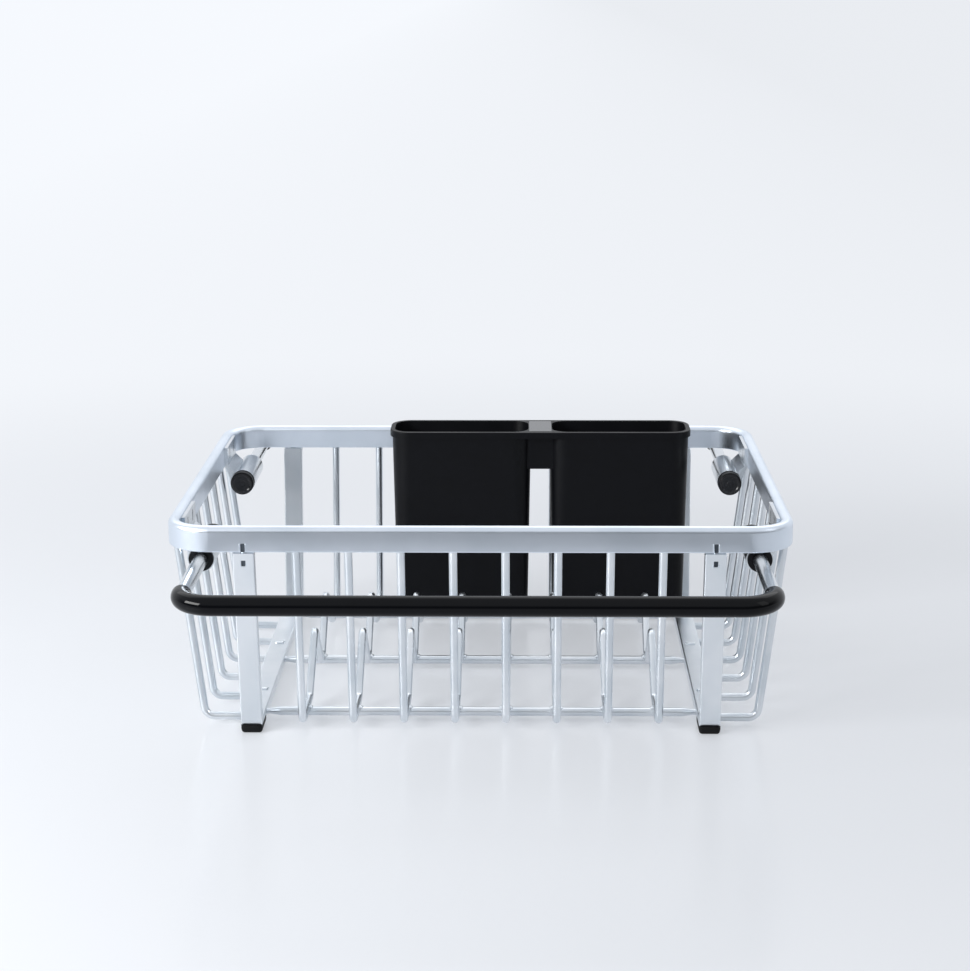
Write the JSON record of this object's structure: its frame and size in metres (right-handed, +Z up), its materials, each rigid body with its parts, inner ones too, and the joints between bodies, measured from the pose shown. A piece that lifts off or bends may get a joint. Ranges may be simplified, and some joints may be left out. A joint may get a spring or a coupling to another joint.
{
  "type": "dish drying rack",
  "caption": "Aluminium wire dish rack with sliding front and rear handles that let it rest over a sink, and a lift-out utensil holder.",
  "frame": {"origin": "on the worktop, at the centre of the overall bounding box's base", "axes": "+Z up, +X along the rim's long side, +Y from the front handle to the rear handle"},
  "size_m": [0.41, 0.483, 0.1525],
  "materials": {
    "bar_aluminium": "satin anodised",
    "wire_aluminium": "bright",
    "tube_aluminium": "satin",
    "black_nylon": "matt black",
    "grip_pvc": "gloss black",
    "holder_polypropylene": "satin black",
    "black_rubber": "matt black"
  },
  "bodies": {
    "frame": {"basket_wire_1": "wire_aluminium", "basket_wire_2": "wire_aluminium", "basket_wire_3": "wire_aluminium", "basket_wire_4": "wire_aluminium", "basket_wire_5": "wire_aluminium", "basket_wire_6": "wire_aluminium", "basket_wire_7": "wire_aluminium", "basket_wire_8": "wire_aluminium", "front_cross_rod": "wire_aluminium", "front_left_foot": "black_rubber", "front_left_inner_bush": "black_nylon", "front_left_outer_bush": "black_nylon", "front_left_slide_bracket": "tube_aluminium", "front_right_foot": "black_rubber", "front_right_inner_bush": "black_nylon", "front_right_outer_bush": "black_nylon", "front_right_slide_bracket": "tube_aluminium", "left_leg_frame": "bar_aluminium", "left_side_wire_1": "wire_aluminium", "left_side_wire_2": "wire_aluminium", "left_side_wire_3": "wire_aluminium", "left_side_wire_4": "wire_aluminium", "left_side_wire_5": "wire_aluminium", "left_side_wire_6": "wire_aluminium", "left_side_wire_7": "wire_aluminium", "leg_joint_pins": "tube_aluminium", "middle_cross_rod": "wire_aluminium", "rear_cross_rod": "wire_aluminium", "rear_left_foot": "black_rubber", "rear_left_inner_bush": "black_nylon", "rear_left_outer_bush": "black_nylon", "rear_left_slide_bracket": "tube_aluminium", "rear_right_foot": "black_rubber", "rear_right_inner_bush": "black_nylon", "rear_right_outer_bush": "black_nylon", "rear_right_slide_bracket": "tube_aluminium", "right_leg_frame": "bar_aluminium", "right_side_wire_1": "wire_aluminium", "right_side_wire_2": "wire_aluminium", "right_side_wire_3": "wire_aluminium", "right_side_wire_4": "wire_aluminium", "right_side_wire_5": "wire_aluminium", "right_side_wire_6": "wire_aluminium", "right_side_wire_7": "wire_aluminium", "top_rim": "bar_aluminium"},
    "front_handle": {"front_handle_grip": "grip_pvc", "front_handle_tube": "tube_aluminium", "front_left_slide_stop": "black_nylon", "front_right_slide_stop": "black_nylon"},
    "rear_handle": {"rear_handle_grip": "grip_pvc", "rear_handle_tube": "tube_aluminium", "rear_left_slide_stop": "black_nylon", "rear_right_slide_stop": "black_nylon"},
    "utensil_holder": {"utensil_holder": "holder_polypropylene"}
  },
  "joints": [
    {"name": "front_handle_slide", "type": "slide", "parent": "frame", "child": "front_handle", "axis": [0, 1, 0], "range_m": [0, 0.065]},
    {"name": "rear_handle_slide", "type": "slide", "parent": "frame", "child": "rear_handle", "axis": [0, -1, 0], "range_m": [0, 0.065]},
    {"name": "utensil_holder_lift", "type": "slide", "parent": "frame", "child": "utensil_holder", "axis": [0, 0, 1], "range_m": [0, 0.15]}
  ]
}
